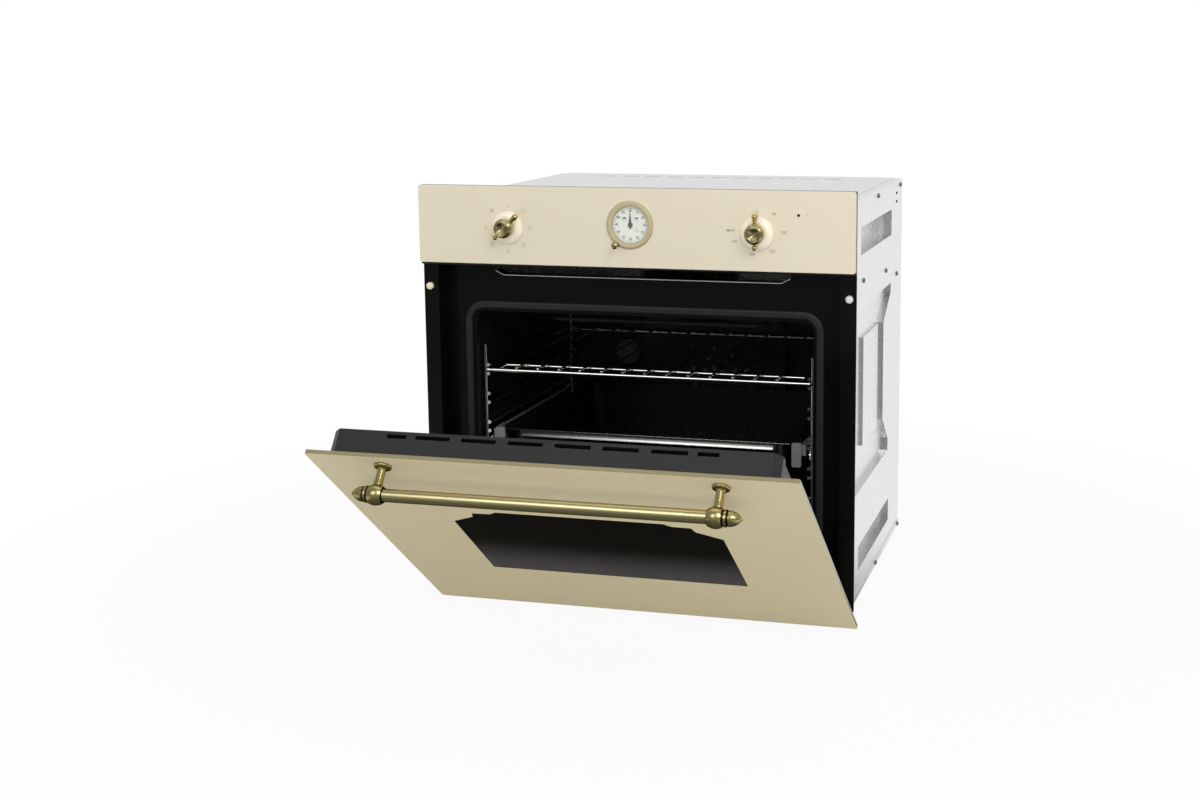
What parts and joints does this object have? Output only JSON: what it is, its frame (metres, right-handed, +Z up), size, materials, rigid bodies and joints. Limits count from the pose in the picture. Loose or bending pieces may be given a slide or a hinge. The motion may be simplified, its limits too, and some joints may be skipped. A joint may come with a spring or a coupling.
{
  "type": "built-in oven",
  "caption": "Built-in electric oven with a drop-down glass door, brass bar handle, lever knobs, a clock, side racks, a wire shelf and a tray on runners.",
  "frame": {"origin": "centre of the casing's underside, on the base sheet", "axes": "+X to the right seen from the front, +Y from the door to the rear, +Z up"},
  "size_m": [0.595, 0.9104, 0.5857],
  "materials": {
    "galvanised_steel": "galvanised sheet, satin",
    "zinc_screw": "zinc plated",
    "black_enamel": "gloss vitreous enamel",
    "grey_enamel": "satin enamel",
    "soft_bumper": "soft moulded",
    "seal_rubber": "silicone seal",
    "mineral_wool": "mineral wool blanket",
    "chrome_wire": "bright chrome plate",
    "runner_steel": "plated steel",
    "heater_tube": "oxidised tube",
    "plain_steel": "bare steel",
    "clear_glass": "clear glass",
    "ceramic": "glazed ceramic",
    "cream_glass": "back-painted glass, gloss",
    "cream_enamel": "satin enamel",
    "black_plastic": "moulded",
    "dial_white": "printed dial",
    "hand_black": "matt",
    "brass": "antique satin",
    "tinted_glass": "dark tinted glass"
  },
  "bodies": {
    "oven": {"case_side_left": "galvanised_steel", "case_side_right": "galvanised_steel", "case_top": "galvanised_steel", "case_base": "galvanised_steel", "case_back": "galvanised_steel", "case_screws": "zinc_screw", "front_frame": "black_enamel", "door_bumpers": "soft_bumper", "air_deflector": "black_enamel", "cavity_liner": "black_enamel", "insulation": "mineral_wool", "door_gasket": "seal_rubber", "rack_left": "chrome_wire", "rack_right": "chrome_wire", "rack_screws": "chrome_wire", "runner_rails": "runner_steel", "grill_element": "heater_tube", "bottom_element": "heater_tube", "ring_element": "heater_tube", "fan_baffle": "black_enamel", "fan_motor": "plain_steel", "lamp_lens": "clear_glass", "lamp_holder": "ceramic", "thermostat_sensor": "plain_steel", "control_panel": "cream_glass", "panel_bracket": "galvanised_steel", "function_switch": "black_plastic", "thermostat_body": "black_plastic", "knob_skirts": "cream_enamel", "clock_body": "black_plastic", "clock_bezel": "cream_enamel", "clock_dial": "dial_white", "clock_lens": "clear_glass", "indicator_lens": "black_plastic", "blower_housing": "galvanised_steel", "blower_motor": "plain_steel", "terminal_box": "black_plastic", "hinge_arms": "plain_steel", "hinge_pins": "plain_steel"},
    "door": {"hinge_tongues": "plain_steel", "door_glass": "cream_glass", "door_window": "tinted_glass", "door_inner_glass": "tinted_glass", "door_columns": "grey_enamel", "door_top_trim": "grey_enamel", "handle_bar": "brass", "handle_brackets": "brass"},
    "function_selector": {"function_knob": "brass", "function_spindle": "plain_steel"},
    "thermostat_selector": {"thermostat_knob": "brass", "thermostat_spindle": "plain_steel"},
    "clock_setter": {"clock_set_knob": "brass"},
    "minute_pointer": {"minute_hand": "hand_black"},
    "hour_pointer": {"hour_hand": "hand_black"},
    "fan_wheel": {"convection_fan": "plain_steel", "fan_shaft": "plain_steel"},
    "blower_wheel": {"blower_rotor": "plain_steel"},
    "shelf": {"wire_shelf": "chrome_wire"},
    "tray": {"baking_tray": "black_enamel", "runner_slides": "runner_steel"}
  },
  "joints": [
    {"name": "door_hinge", "type": "hinge", "parent": "oven", "child": "door", "pos_m": [0, -0.259, 0.028], "axis": [1, 0, 0], "range_deg": [-52.6, 37.4]},
    {"name": "function_turn", "type": "hinge", "parent": "oven", "child": "function_selector", "pos_m": [-0.17, -0.271, 0.52], "axis": [0, 1, 0], "continuous": true},
    {"name": "thermostat_turn", "type": "hinge", "parent": "oven", "child": "thermostat_selector", "pos_m": [0.17, -0.271, 0.52], "axis": [0, 1, 0], "range_deg": [0, 275]},
    {"name": "clock_set_turn", "type": "hinge", "parent": "oven", "child": "clock_setter", "pos_m": [-0.0165, -0.271, 0.501], "axis": [0, 1, 0], "continuous": true},
    {"name": "minute_turn", "type": "hinge", "parent": "oven", "child": "minute_pointer", "pos_m": [0, -0.271, 0.527], "axis": [0, 1, 0], "continuous": true},
    {"name": "hour_turn", "type": "hinge", "parent": "oven", "child": "hour_pointer", "pos_m": [0, -0.271, 0.527], "axis": [0, 1, 0], "continuous": true},
    {"name": "fan_spin", "type": "hinge", "parent": "oven", "child": "fan_wheel", "pos_m": [0, 0.176, 0.23], "axis": [0, 1, 0], "continuous": true},
    {"name": "blower_spin", "type": "hinge", "parent": "oven", "child": "blower_wheel", "pos_m": [0, 0.094, 0.47], "axis": [0, 0, 1], "continuous": true},
    {"name": "shelf_slide", "type": "slide", "parent": "oven", "child": "shelf", "axis": [0, -1, 0], "range_m": [0, 0.28]},
    {"name": "tray_slide", "type": "slide", "parent": "oven", "child": "tray", "axis": [0, -1, 0], "range_m": [0, 0.2]}
  ],
  "couplings": [
    {"joint": "minute_turn", "follows": "clock_set_turn", "ratio": 1},
    {"joint": "hour_turn", "follows": "clock_set_turn", "ratio": 0.083333}
  ]
}
